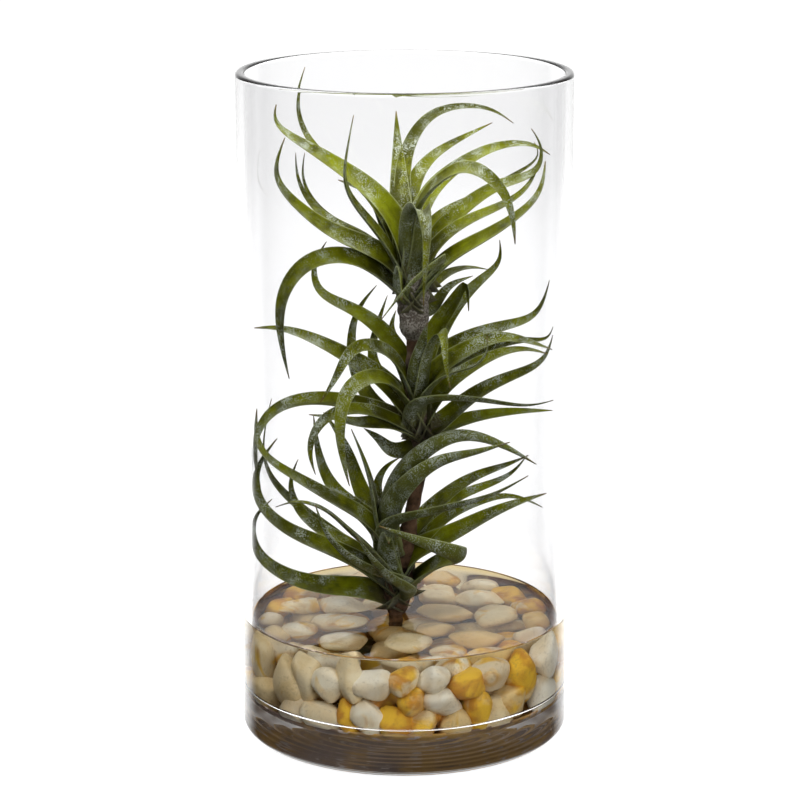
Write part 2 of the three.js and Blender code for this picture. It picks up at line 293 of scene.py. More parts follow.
# Green above, grey-frosted below, with pale margins, brown sheaths and dry tips.
def leafMaterial():
    material, tree, shader, _ = newMaterial("leafSkin")
    along = attribute(tree, "along")
    across = attribute(tree, "across")
    upper = attribute(tree, "upper")
    tone = attribute(tree, "tone")
    place = addNode(tree, "ShaderNodeTexCoord").outputs["Object"]
    slow = noiseAt(tree, place, 60.0, 3.0)
    lines = placeGroup(tree, streaks, {"Along": along, "Across": across, "Count": 7.0, "Offset": tone})
    quick = noiseAt(tree, place, 260.0, 3.0)
    shade = maths(tree, "MULTIPLY", tone, 0.8)
    shade = maths(tree, "ADD", shade, maths(tree, "MULTIPLY", maths(tree, "SUBTRACT", slow, 0.54), 1.9))
    shade = maths(tree, "ADD", shade, maths(tree, "MULTIPLY", maths(tree, "SUBTRACT", quick, 0.5), 1.1))
    lined = maths(tree, "MULTIPLY", maths(tree, "SUBTRACT", lines, 0.5), 0.5)
    shade = maths(tree, "ADD", shade, lined, clamp=True)
    olive, leafGreen = colour(0.04, 0.042, 0.002), colour(0.105, 0.115, 0.002)
    deep = mixColour(tree, between(tree, shade, 0.0, 0.5), olive, leafGreen)
    green = mixColour(tree, between(tree, shade, 0.45, 1.0), deep, colour(0.175, 0.20, 0.004))
    below = between(tree, upper, 0.1, -0.35)
    green = mixColour(tree, maths(tree, "MULTIPLY", below, 0.55), green, colour(0.085, 0.095, 0.03))
    grains = placeGroup(tree, speckle, {"Size": 0.00055, "Cover": 0.5, "Clump": 0.006})
    tipward = maths(tree, "MULTIPLY", between(tree, along, 0.25, 0.85), 0.75)
    frost = maths(tree, "ADD", maths(tree, "MULTIPLY", below, 0.55), tipward, clamp=True)
    patchy = noiseAt(tree, place, 85.0, 4.0)
    frost = maths(tree, "MULTIPLY", frost, between(tree, patchy, 0.36, 0.58, 0.4, 1.0))
    frost = maths(tree, "ADD", frost, between(tree, patchy, 0.48, 0.62, 0.0, 0.65), clamp=True)
    frost = maths(tree, "MULTIPLY", frost, grains)
    skin = mixColour(tree, maths(tree, "MULTIPLY", frost, 0.78), green, colour(0.42, 0.46, 0.39))
    width = maths(tree, "ABSOLUTE", across)
    margin = maths(tree, "MULTIPLY", between(tree, width, 0.86, 1.0), 0.55)
    skin = mixColour(tree, margin, skin, colour(0.33, 0.36, 0.17))
    sheath = between(tree, along, 0.22, 0.04)
    skin = mixColour(tree, maths(tree, "MULTIPLY", sheath, 0.7), skin, colour(0.05, 0.035, 0.028))
    dry = maths(tree, "MULTIPLY", between(tree, along, 0.94, 1.0), 0.8)
    skin = mixColour(tree, dry, skin, colour(0.12, 0.06, 0.025))
    tree.links.new(skin, shader.inputs["Base Color"])
    shader.inputs["Specular IOR Level"].default_value = 0.3
    shader.inputs["Specular Tint"].default_value = colour(0.9, 0.95, 0.35)
    rough = maths(tree, "ADD", 0.42, maths(tree, "MULTIPLY", frost, 0.3))
    tree.links.new(rough, shader.inputs["Roughness"])
    relief = maths(tree, "ADD", maths(tree, "MULTIPLY", lines, 0.6), maths(tree, "MULTIPLY", grains, 0.25))
    bump = addNode(tree, "ShaderNodeBump", {"Height": relief, "Strength": 0.35, "Distance": 0.0006})
    tree.links.new(bump.outputs[0], shader.inputs["Normal"])
    return material


# Dry brown bark and sheaths, grey and fuzzy where the tone is high.
def stemMaterial():
    material, tree, shader, _ = newMaterial("stemBark")
    place = addNode(tree, "ShaderNodeTexCoord").outputs["Object"]
    tone = attribute(tree, "tone")
    slow = noiseAt(tree, place, 180.0, 5.0)
    darkBark, paleBark = colour(0.035, 0.018, 0.01), colour(0.15, 0.085, 0.05)
    bark = mixColour(tree, between(tree, slow, 0.35, 0.65), darkBark, paleBark)
    fuzz = placeGroup(tree, speckle, {"Size": 0.0009, "Cover": 0.6, "Clump": 0.006})
    grey = mixColour(tree, fuzz, colour(0.12, 0.10, 0.08), colour(0.34, 0.31, 0.27))
    skin = mixColour(tree, tone, bark, grey)
    tree.links.new(skin, shader.inputs["Base Color"])
    shader.inputs["Roughness"].default_value = 0.75
    relief = maths(tree, "ADD", slow, maths(tree, "MULTIPLY", fuzz, 0.4))
    bump = addNode(tree, "ShaderNodeBump", {"Height": relief, "Strength": 0.8, "Distance": 0.0012})
    tree.links.new(bump.outputs[0], shader.inputs["Normal"])
    return material


# Water-smoothed stone: cream to grey by tone, amber patches, mottling and fine grains.
def pebbleMaterial():
    material, tree, shader, _ = newMaterial("riverPebble")
    place = addNode(tree, "ShaderNodeTexCoord").outputs["Object"]
    tone = attribute(tree, "tone")
    amber = attribute(tree, "amber")
    stops = [(0.0, (0.88, 0.82, 0.68)), (0.3, (0.82, 0.70, 0.47)), (0.55, (0.74, 0.52, 0.22)),
             (0.8, (0.68, 0.58, 0.43)), (1.0, (0.80, 0.75, 0.66))]
    body = colourRamp(tree, tone, stops)
    noise = {"Vector": place, "Scale": 90.0, "Detail": 5.0, "Distortion": 0.6}
    cloudy = addNode(tree, "ShaderNodeTexNoise", noise)
    cloud = cloudy.outputs["Fac"]
    skin = mixColour(tree, between(tree, cloud, 0.35, 0.7, 0.0, 0.45), body, colour(0.58, 0.38, 0.12))
    noise = {"Vector": place, "Scale": 55.0, "Detail": 4.0, "Distortion": 1.2}
    stain = addNode(tree, "ShaderNodeTexNoise", noise)
    level = maths(tree, "ADD", stain.outputs["Fac"], maths(tree, "MULTIPLY", amber, 0.4))
    stained = between(tree, level, 0.62, 0.8)
    paleGold, deepGold = colour(0.78, 0.46, 0.02), colour(0.50, 0.20, 0.01)
    gold = mixColour(tree, between(tree, cloud, 0.4, 0.62), paleGold, deepGold)
    skin = mixColour(tree, maths(tree, "MULTIPLY", stained, 0.9), skin, gold)
    grains = placeGroup(tree, speckle, {"Size": 0.0012, "Cover": 0.35, "Clump": 0.012})
    skin = mixColour(tree, maths(tree, "MULTIPLY", grains, 0.25), skin, colour(0.2, 0.13, 0.07))
    tree.links.new(skin, shader.inputs["Base Color"])
    shader.inputs["Roughness"].default_value = 0.4
    bump = addNode(tree, "ShaderNodeBump", {"Height": cloud, "Strength": 0.25, "Distance": 0.0015})
    tree.links.new(bump.outputs[0], shader.inputs["Normal"])
    return material


# Painted shade and reflection: brown with golden streaks and pale grains, standing in for the shaded stones
# that the thick glass base shows.
def paintedBaseMaterial():
    material, tree, shader, _ = newMaterial("paintedBaseDish")
    place = addNode(tree, "ShaderNodeTexCoord").outputs["Object"]
    cloud = noiseAt(tree, place, 45.0, 5.0)
    fine = noiseAt(tree, place, 140.0, 4.0)
    skin = mixColour(tree, between(tree, cloud, 0.4, 0.6), colour(0.19, 0.13, 0.10), colour(0.56, 0.32, 0.09))
    skin = mixColour(tree, between(tree, fine, 0.57, 0.66), skin, colour(0.70, 0.58, 0.52))
    tree.links.new(skin, shader.inputs["Base Color"])
    shader.inputs["Roughness"].default_value = 0.8
    return material


brownFinish = paintedBaseMaterial()
# Where water meets the wall the step is 1.5 / 1.33; on the bowl, under the painted brown dish, there is none.
contactFinish = clearMaterial("clearContact", colour(1.0, 1.0, 1.0), 1.0)
wallContactFinish = clearMaterial("clearWallContact", colour(1.0, 1.0, 1.0), 1.128)
glassFinish = clearMaterial("clearGlass", colour(0.99, 0.99, 0.995), 1.5, 3.5, colour(0.5, 0.5, 0.48))
waterFinish = clearMaterial("clearWater", colour(1.0, 1.0, 1.0), 1.33, 20.0, colour(0.93, 0.82, 0.45))
leafFinish = leafMaterial()
stemFinish = stemMaterial()
pebbleFinish = pebbleMaterial()
print("finishes made")


vase = {
    "wall": 4.0 * mm,
    "foot": 4.0 * mm,  # radius of the outer bottom edge
    "lip": 1.5 * mm,  # radius of the rim's two edges
    "bowl": 11.0 * mm,  # how far the inner floor falls from the wall to the middle
    "ripple": 0.12 * mm,  # faint mould rings under the base
    "corner": 5.0 * mm,  # how far the floor climbs the wall
    "push": 1.5 * mm,  # hollow under the base
    "support": 0.4 * mm,  # a close ring beside each rounding keeps the shading true
    "sides": 256,
}
innerRadius = vaseRadius - vase["wall"]
vaseFloor = pebbleLow.z - 0.3 * mm + vase["bowl"]  # at the wall; the bed keeps the usual gap to the glass


# The underside from the axis outwards: hollowed by push * (1 - (r / reach)^2)^2, with faint rings.
def pushUpOutline(reach):
    share = np.linspace(0, 1, 60)
    rings = vase["ripple"] * np.sin(share * 61 + 5 * share**2) * np.sin(np.pi * share)
    return np.stack([reach * share, vase["push"] * (1 - share**2) ** 2 + rings + vase["ripple"]], -1)


# The inner floor: it falls from the wall as bowl * (1 - share^2.6), with a steep last corner.
def bowlHeight(r):
    share = np.clip(r / innerRadius, 0, 1)
    return vaseFloor - vase["bowl"] * (1 - share**2.6) + vase["corner"] * share**24


# Up the outside, over the lip, down the inside and across the thick floor.
def vaseProfile():
    r, top, near = vaseRadius, vaseTop, vase["support"]
    foot, lip = vase["foot"], vase["lip"]
    inward = innerRadius * np.linspace(1, 0, 60) ** 0.6
    rows = [
        pushUpOutline(r - foot - near),
        arcPoints(r - foot, foot, foot, -90, 0, 9),
        [[r, foot + near], [r, top * 0.5], [r, top - lip - near]],
        arcPoints(r - lip, top - lip, lip, 0, 90, 7),
        arcPoints(innerRadius + lip, top - lip, lip, 90, 180, 7),
        [[innerRadius, top - lip - near], [innerRadius, waterLevel + water["climb"]],
         [innerRadius, vaseFloor + vase["corner"] + near]],
        np.stack([inward, bowlHeight(inward)], -1),
    ]
    return np.vstack(rows)


water = {
    "gap": 0.2 * mm,  # between the fill and the glass
    "climb": 1.6 * mm,  # height of the meniscus at the wall
    "reach": 1.6 * mm,  # how fast it falls away
    "skinPoints": 22,
}


# Filled to the level; the surface rises by climb * exp(-distance to wall / reach).
def waterProfile():
    r, near = innerRadius - water["gap"], vase["support"]
    outward = r * np.linspace(0, 1, 60) ** 0.6
    distance = np.r_[np.linspace(0, 9, water["skinPoints"] - 3), 15, 30, 60] * mm
    surface = waterLevel + water["climb"] * np.exp(-distance / water["reach"])
    rows = [
        np.stack([outward, bowlHeight(outward) + water["gap"]], -1),
        [[r, vaseFloor + vase["corner"] + near], [r, waterLevel], [r, surface[0] - 0.2 * mm]],
        np.stack([r - distance, surface], -1),
        [[0, waterLevel]],
    ]
    return np.vstack(rows)


# A turned clear piece; the segments where it touches the other clear one take the contact finish.
def addTurned(name, profile, touching, finish, node):
    points, faces = latheSurface(profile, vase["sides"])
    bands = np.repeat(touching[1:-1], vase["sides"])
    finishOfFace = np.r_[bands, np.full(vase["sides"], touching[0]), np.full(vase["sides"], touching[-1])]
    finishes = [finish, contactFinish, wallContactFinish]
    piece = newPiece(name, points, faces, finishes, finishOfFace=finishOfFace)
    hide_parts(node)


# 1 for each profile segment whose two ends both pass the test, else 0.
def segmentsWhere(profile, test):
    passed = test(profile[:, 0], profile[:, 1])
    return (passed[:-1] & passed[1:]).astype(int)


contactTop = waterLevel + water["climb"]
outline = vaseProfile()
onBowl = segmentsWhere(outline, lambda r, z: (r < innerRadius) & (z > vase["push"] + mm) & (z < contactTop))
hair = 0.01 * mm  # allows for rounding
onWall = segmentsWhere(outline, lambda r, z: (np.abs(r - innerRadius) < hair) & (z < contactTop + hair))
wet = np.where(onWall, 2, onBowl)
addTurned("glassVase", outline, wet, glassFinish, "glass_vase")
outline = waterProfile()
wet = np.r_[np.ones(len(outline) - 1 - water["skinPoints"], int), np.zeros(water["skinPoints"], int)]
addTurned("waterBody", outline, wet, waterFinish, "water")
print("vase and water made")


# Against the wall, as they look through the water: angle from the front, height, half length, half
# height, tone, amber.
wallPebbles = [
    [-77, 33, 12, 12, 0.4, 0.1], [-64, 24, 11, 6.5, 0.8, 0.0], [-54, 40, 9, 11, 0.35, 0.0],
    [-43, 24, 12, 6.5, 0.2, 0.1], [-40, 39, 8, 10, 0.15, 0.1], [-28, 25, 6, 7.5, 0.5, 0.9],
    [-27, 42, 8, 10, 0.3, 0.1], [-17, 26, 8, 7, 0.1, 0.2], [-15, 40, 11, 8, 0.05, 0.0],
    [-5, 24, 8, 7, 0.5, 1.0], [-1, 43, 9, 7, 0.3, 0.5], [4, 33, 9, 6, 0.5, 0.8],
    [8, 23, 9, 6, 0.4, 0.5], [14, 43, 9, 7, 0.05, 0.0], [19, 32, 10, 7, 0.0, 0.0],
    [24, 23, 8, 6, 0.5, 0.3], [33, 40, 11, 7, 0.4, 1.1], [37, 27, 7, 9, 0.5, 0.8],
    [47, 42, 11, 7, 0.75, 0.2], [51, 24, 10, 6.5, 0.4, 0.1], [62, 29, 8, 8, 0.5, 0.5],
    [73, 37, 10, 12, 0.5, 0.8],
]
# At the surface of the bed: x, y, half length, half width, turn, tone, amber.
topPebbles = [
    [-50, 18, 12, 9, 10, 0.45, 0.5], [-29, 19, 13, 9, -15, 0.1, 0.1], [-32, -6, 13, 10, 20, 0.3, 0.1],
    [-48, -17, 9, 8, 60, 0.2, 0.3], [-27, -31, 12, 9, 10, 0.15, 0.1], [-8, 24, 12, 9, 40, 0.5, 0.4],
    [1, -32, 10, 13, 0, 0.5, 0.2], [14, -15, 9, 8, 20, 0.8, 0.0], [20, -47, 8, 9, 0, 0.3, 0.5],
    [19, 8, 12, 10, -30, 0.75, 0.0], [33, -28, 12, 10, 10, 0.9, 0.0], [15, 36, 10, 12, 20, 0.4, 0.2],
    [36, 32, 11, 12, 60, 0.25, 0.3], [42, 4, 11, 12, -20, 0.5, 0.2], [-20, 42, 13, 9, 25, 0.3, 0.2],
]
pebble = {
    "depth": 8,  # half thickness towards the wall
    "surfaceHeight": 43,
    "surfaceHalf": 8,
    "rings": 22,
    "around": 32,
    "faces": 12,  # worn flats on each stone
    "edge": 6,  # how crisp the edges between them are
    "wallGap": 0.5,
    "surfaceTone": 0.6,
    "restLift": 9.3,  # from the floor at the wall to the middle of the hidden stones
    "gap": 0.4,  # least distance to the glass
}
# The water makes a stone at the wall look wider and further round than it is.
throughWater = {
    "sineShare": 0.8,
    "lengthShare": 0.85,
    "lowerCourse": 30,  # stones below this height reach down to the bowl
    "drop": 2,
    "taller": 1.5,
    "longer": 0.6,
}


# A wall stone's row with its angle and sizes as they are.
def behindWater(angle, z, length, height, tone, amber):
    lower = z < throughWater["lowerCourse"]
    turn = math.asin(throughWater["sineShare"] * math.sin(math.radians(angle)))
    length = (length + throughWater["longer"] * lower) * throughWater["lengthShare"]
    height = height + throughWater["taller"] * lower
    z = z - throughWater["drop"] * lower
    return round(math.degrees(turn)), z, round(length * 2) / 2, height, tone, amber


# Rows of place, half sizes, turn, tone and amber: wall course, surface stones, hidden core.
def pebblePlaces():
    wallRadius = innerRadius / mm - pebble["wallGap"] - pebble["depth"]
    rows = []

    def againstWall(angle, z, length, height, tone, amber):
        turn = math.radians(angle)
        place = [wallRadius * math.sin(turn), -wallRadius * math.cos(turn), z]
        rows.append(place + [length, pebble["depth"], height, angle, tone, amber])

    for row in wallPebbles:
        againstWall(*behindWater(*row))
    for i in range(13):
        againstWall(66 + 19 * i, 23, 10.5, 8.5, (0.37 * i) % 1, (0.61 * i) % 1)
        againstWall(70 + 18.3 * i, 40, 10, 11, (0.53 * i) % 1, (0.29 * i) % 1)
    for x, y, length, width, turn, tone, amber in topPebbles:
        tone = tone * pebble["surfaceTone"]
        rows.append([x, y, pebble["surfaceHeight"], length, width, pebble["surfaceHalf"], turn, tone, amber])
    for radius, count, start in ((11, 3, 20), (32, 7, 0), (49, 12, 12)):
        for i in range(count):
            angle = math.radians(start + 360 * i / count)
            place = [radius * math.cos(angle), radius * math.sin(angle), vaseFloor / mm + pebble["restLift"]]
            rows.append(place + [13, 10, 8.5, start + 50 * i, (0.37 * i) % 1, (0.61 * i) % 1])
    return np.array(rows, float)


# Every stone is a rounded polyhedron: reach = (sum of (facing . direction / distance)^edge)^(-1/edge).
def pebbleBed():
    rows = pebblePlaces()
    lat = np.linspace(-np.pi / 2, np.pi / 2, pebble["rings"] + 2)[1:-1]
    lon = np.linspace(0, 2 * np.pi, pebble["around"], endpoint=False)
    lat, lon = np.meshgrid(lat, lon, indexing="ij")
    sphere = np.stack([np.cos(lat) * np.cos(lon), np.cos(lat) * np.sin(lon), np.sin(lat)], -1).reshape(-1, 3)
    unitStone = np.vstack([sphere, [[0, 0, -1.0], [0, 0, 1.0]]])
    draws = np.random.default_rng(11)
    step = np.arange(pebble["faces"]) + 0.5
    rise, swing = 1 - 2 * step / pebble["faces"], step * math.pi * (3 - math.sqrt(5))
    spread = np.stack([np.sqrt(1 - rise**2) * np.cos(swing), np.sqrt(1 - rise**2) * np.sin(swing), rise], -1)
    facing = unit(spread + 0.45 * draws.normal(size=(len(rows), pebble["faces"], 3)))
    distance = draws.uniform(0.78, 1.06, (len(rows), 1, pebble["faces"]))
    slope = np.maximum(np.einsum("vc,skc->svk", unitStone, facing), 0) / distance
    reach = (slope ** pebble["edge"]).sum(-1, keepdims=True) ** (-1 / pebble["edge"])
    stone = unitStone[None] * np.minimum(reach, 1.18)
    stone = stone * rows[:, None, 3:6]
    turn = np.radians(rows[:, 6])[:, None]
    x = stone[..., 0] * np.cos(turn) - stone[..., 1] * np.sin(turn)
    y = stone[..., 0] * np.sin(turn) + stone[..., 1] * np.cos(turn)
    points = np.stack([x, y, stone[..., 2]], -1) + rows[:, None, :3]
    radius = np.hypot(points[..., 0], points[..., 1])
    limit = innerRadius / mm - pebble["gap"]
    points[..., :2] *= np.minimum(1, limit / np.maximum(radius, 1e-6))[..., None]
    lowest = bowlHeight(np.hypot(points[..., 0], points[..., 1]) * mm) / mm + pebble["gap"]
    points[..., 2] = np.maximum(points[..., 2], lowest)
    count = len(unitStone)
    quads = ringQuads(pebble["rings"], pebble["around"])
    j = np.arange(pebble["around"])
    k = (j + 1) % pebble["around"]
    last = (pebble["rings"] - 1) * pebble["around"]
    caps = np.vstack([np.stack([np.full_like(j, count - 2), k, j], -1),
                      np.stack([last + j, last + k, np.full_like(j, count - 1)], -1)])
    offsets = (np.arange(len(rows)) * count)[:, None, None]
    faces = (quads[None] + offsets).reshape(-1, 4).tolist() + (caps[None] + offsets).reshape(-1, 3).tolist()
    attributes = {"tone": np.repeat(rows[:, 7], count), "amber": np.repeat(rows[:, 8], count)}
    bed = newPiece("pebbleBed", points.reshape(-1, 3) * mm, faces, [pebbleFinish], attributes)
    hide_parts("pebble_bed")
    return len(rows)


baseDish = {"radius": 0.95 * innerRadius, "clear": 0.35 * mm, "thick": 0.9 * mm, "sides": 160}


# A thin brown dish lying on the bowl of the glass floor: painted shade and reflection for the shaded stones
# seen through the base.
def paintedBaseDish():
    outward = baseDish["radius"] * np.linspace(0, 1, 50) ** 0.6
    under = bowlHeight(outward) + baseDish["clear"]
    over = under + baseDish["thick"]
    profile = np.vstack([np.stack([outward, under], -1), np.stack([outward, over], -1)[::-1]])
    points, faces = latheSurface(profile, baseDish["sides"])
    newPiece("paintedBaseDish", points, faces, [brownFinish])


lineRing = {"tube": 0.26 * mm, "inset": 0.3 * mm, "around": 8}


# A fine dark brown ring of round section just inside the glass at the water line.
def waterlineRing():
    turn = np.linspace(0, 2 * np.pi, lineRing["around"] + 1)[:-1]
    profile = np.stack([innerRadius - lineRing["inset"] + lineRing["tube"] * np.cos(turn),
                        waterLevel + water["climb"] + lineRing["tube"] * np.sin(turn)], -1)
    around = 2 * np.pi * np.arange(vase["sides"]) / vase["sides"]
    ring = np.stack([np.cos(around), np.sin(around)], -1)
    flat = (profile[None, :, :1] * ring[:, None]).reshape(-1, 2)
    points = np.c_[flat, np.tile(profile[:, 1], vase["sides"])]
    index = np.arange(vase["sides"] * lineRing["around"]).reshape(vase["sides"], lineRing["around"])
    nextRing, nextPoint = np.roll(index, -1, 0), np.roll(index, -1, 1)
    faces = np.stack([index, nextRing, np.roll(nextRing, -1, 1), nextPoint], -1).reshape(-1, 4)
    newPiece("waterlineRing", points, faces.tolist(), [brownFinish])


waterlineRing()
paintedBaseDish()
print("pebbles made:", pebbleBed())


stemRoute = [
    [-4, 2, 24], [-4, 0, 50], [-2, 0, 75], [2, 0, 95], [5, 0, 110],
    [8, 0, 128], [7, 0, 140], [4, 0, 165], [4, 0, 184], [4, 0, 208], [4, 0, 232],
]
stem = {
    "radius": 3.2,
    "top": 233,
    "tip": 0.6,
    "crownShare": 0.86,  # how much of each crown's outline the sheaths fill
    "rings": 150,
    "around": 28,
}
# Each rosette's sheathed crown: radius and height up its outline, then how grey it is.
crowns = [
    [[[3.3, 50], [6, 56], [8, 62], [8.5, 72], [6.5, 84], [4.5, 94], [3.3, 101]], 0.0],
    [[[3.3, 130], [5, 136], [6.5, 143], [6.5, 152], [5.5, 163], [4, 172], [3.3, 177]], 0.2],
    [[[3.3, 183], [7, 187], [8, 195], [8.5, 204], [7, 214], [4.5, 224], [2, 230]], 1.0],
]
stemKnots = np.array(stemRoute, float)


# The stem axis's point at a height, straight between the route's points.
def stemAxisAt(z):
    x = np.interp(z, stemKnots[:, 2], stemKnots[:, 0])
    y = np.interp(z, stemKnots[:, 2], stemKnots[:, 1])
    return np.array([x, y, z])


# Rings round the axis; the radius is the stem's or the crown's, with a bark ripple.
def stemSurface():
    z = np.linspace(stemKnots[0, 2], stem["top"], stem["rings"])
    radius = np.full_like(z, stem["radius"])
    grey = np.zeros_like(z)
    for outline, greyness in crowns:
        rows = np.array(outline)
        inside = (z > rows[0, 1]) & (z < rows[-1, 1])
        radius[inside] = np.interp(z[inside], rows[:, 1], rows[:, 0]) * stem["crownShare"]
        grey[inside] = greyness
    radius[-1] = stem["tip"]
    turn = np.linspace(0, 2 * np.pi, stem["around"], endpoint=False)
    ripple = 1 + 0.05 * np.sin(3 * turn + z[:, None] * 0.5) + 0.04 * np.sin(7 * turn - z[:, None] * 1.1)
    wide = radius[:, None] * ripple
    x = np.interp(z, stemKnots[:, 2], stemKnots[:, 0])[:, None] + wide * np.cos(turn)
    y = np.interp(z, stemKnots[:, 2], stemKnots[:, 1])[:, None] + wide * np.sin(turn)
    points = np.stack([x, y, np.repeat(z[:, None], stem["around"], 1)], -1).reshape(-1, 3)
    return points, np.repeat(grey, stem["around"])


points, tones = stemSurface()
faces = closedSweep(stem["rings"], stem["around"])
woodyStem = newPiece("woodyStem", points * mm, faces, [stemFinish], {"tone": tones})
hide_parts("stem")
print("stem made")


# How leaves are stated: as seen from this far in front of the stem and this far above the ground.
view = {"distance": 1167, "height": 450}
# Each leaf: width, height of its base, the points its midrib passes, and its tone (1 is yellow-green).
# A point is the x and z where it appears to cross the plane of the stem, then how far behind it lies.
topLeaves = [
    [11, 204, [[-10, 244, 0], [-28, 260, 0], [-46, 272.5, 0], [-58.5, 284, 0], [-57.5, 289.5, -2]], 0.9],
    [10.5, 200, [[-10, 220, -6], [-30, 230.5, -14], [-47, 242, -20], [-57, 258, -22],
     [-52.5, 275.5, -20]], 0.6],
    [9, 197, [[-15, 214.5, -10], [-30, 220, -18], [-44, 217, -22], [-53, 204, -24], [-55.5, 188, -24],
     [-51.5, 165, -22]], 0.35],
    [10, 203, [[7, 243, -10], [17, 256.5, -22], [30, 260.5, -32], [42, 252, -38], [48.5, 227, -42]], 0.6],
    [9.5, 198, [[20, 219, -10], [35, 229, -16], [50, 239, -18], [60, 250, -16], [63, 264, -10]], 0.85],
    [10, 204, [[-3, 238, 8], [-10, 247, 18], [-20, 252.5, 30], [-30, 256, 40]], 0.2],
    [9.5, 205, [[-1.5, 245, 10], [-3, 262, 25], [-4.2, 287, 40]], 0.4],
    [6.5, 206, [[-1, 250, 15], [1, 268, 30], [12, 283.5, 42], [28, 289, 48], [40, 286, 46],
     [49, 281, 42]], 0.1],
    [8, 204, [[12, 250, 10], [26, 263, 16], [42, 270.5, 18], [58, 271, 14], [66, 267.5, 8]], 0.75],
    [9, 199, [[1, 225, -10], [2, 240, -22], [5, 243, -35], [9, 222, -48]], 0.6],
    [7.5, 200, [[-9, 226, -8], [-19, 240, -20], [-26.5, 254, -27], [-26, 270, -28], [-23, 285, -27]], 0.6],
    [8, 202, [[17, 232, 5], [30, 245, 10], [46, 254.5, 12], [60, 262, 10], [62, 270, 8],
     [57, 279, 6]], 0.7],
    [7, 200, [[8, 230, -14], [9.5, 243, -30], [10, 232, -46], [9.5, 215, -54], [8.5, 199, -58]], 0.3],
    [7.5, 204, [[3, 250, 18], [12, 265, 32], [25, 274.5, 40], [39.5, 281.5, 44]], 0.5],
    [7, 200, [[18, 229, -4], [30, 238, -2], [45, 245, 4], [56, 253, 8], [61, 266, 12]], 0.5],
    [6, 197, [[14, 215, -12], [17, 219, -20], [8, 213, -30], [-1, 203.5, -38], [-10, 192.5, -44]], 0.8],
    [5.5, 205, [[-20, 252, 14], [-41, 271, 22], [-48, 287, 25], [-44.5, 306, 24]], 0.3],
    [5.5, 203, [[-25, 232, 22], [-41, 243, 34], [-48.5, 256, 38], [-49.3, 268, 38]], 0.3],
]
middleLeaves = [
    [10, 140, [[-12, 164, 0], [-28, 175, 0], [-45, 183.5, 0], [-60, 188, 0], [-69, 187.5, 0]], 0.5],
    [8.5, 142, [[-3, 175, 5], [-14, 189, 10], [-28, 198, 14], [-39, 206, 16], [-41, 215, 18],
     [-35.5, 227.5, 20]], 0.6],
    [7.5, 137, [[-12, 148.5, 2], [-28, 153, 4], [-45, 153.8, 4], [-60, 148.5, 2], [-68, 136, 0],
     [-68, 121, 0], [-66, 103, 4]], 0.3],
    [8, 138, [[-4, 160, -14], [-14, 165, -26], [-25, 159.5, -36], [-28.7, 143, -44], [-28, 128, -46],
     [-25.5, 114, -46]], 0.5],
    [10, 140, [[14, 166, -4], [28, 177, -8], [43, 183.5, -8], [56, 182, -6], [67, 178.5, -4]], 0.7],
    [8.5, 143, [[14, 180, 14], [24, 198, 22], [35, 210, 26], [43, 219, 26], [43.5, 228.5, 24]], 0.6],
    [8, 142, [[14, 172, 8], [28, 182.5, 14], [45, 188.5, 16], [59, 194, 14], [66, 210, 10]], 0.6],
    [8, 141, [[-3, 170, -8], [-11, 178.5, -16], [-22, 178, -24], [-31, 166, -30], [-38, 153, -34]], 0.4],
    [8, 136, [[7, 151, -14], [15, 154.5, -22], [35, 153.5, -24], [55, 151.5, -20], [68, 154.5, -10]], 0.3],
    [7, 136, [[-12, 147, -14], [-27, 149, -26], [-37, 144.5, -34], [-42, 133, -38],
     [-40.5, 119, -38]], 0.3],
    [8.5, 138, [[18, 158, -2], [32, 170, 0], [45, 176.5, 2], [57, 177.5, 4], [66, 176, 4]], 0.6],
    [7.5, 135, [[17, 143, 4], [32, 156, 8], [50, 165, 10], [64, 174, 10], [68.5, 185, 8]], 0.5],
    [7, 134, [[18, 141, 6], [32, 145.5, 10], [50, 148.5, 10], [69, 149.5, 6]], 0.7],
    [7, 140, [[10, 168, -10], [14, 183, -20], [17, 186, -28], [19, 174, -36], [20.3, 160, -40]], 0.7],
    [10, 143, [[10, 175, 4], [16, 190, 8], [23, 201, 8], [27.5, 208, 4], [28.8, 196, 0]], 0.6],
    [7.5, 138, [[12, 160, -14], [24, 168, -24], [33, 171.5, -28], [36.5, 177, -29], [37.3, 184, -29]], 0.5],
    [8, 135, [[-8, 142.5, -12], [-20, 143.5, -22], [-32, 145.5, -28], [-43, 148, -32]], 0.3],
    [6, 138, [[-12, 151, 10], [-21, 163, 22], [-24.5, 180, 32], [-21, 196, 36], [-13, 208, 38]], 0.3],
]
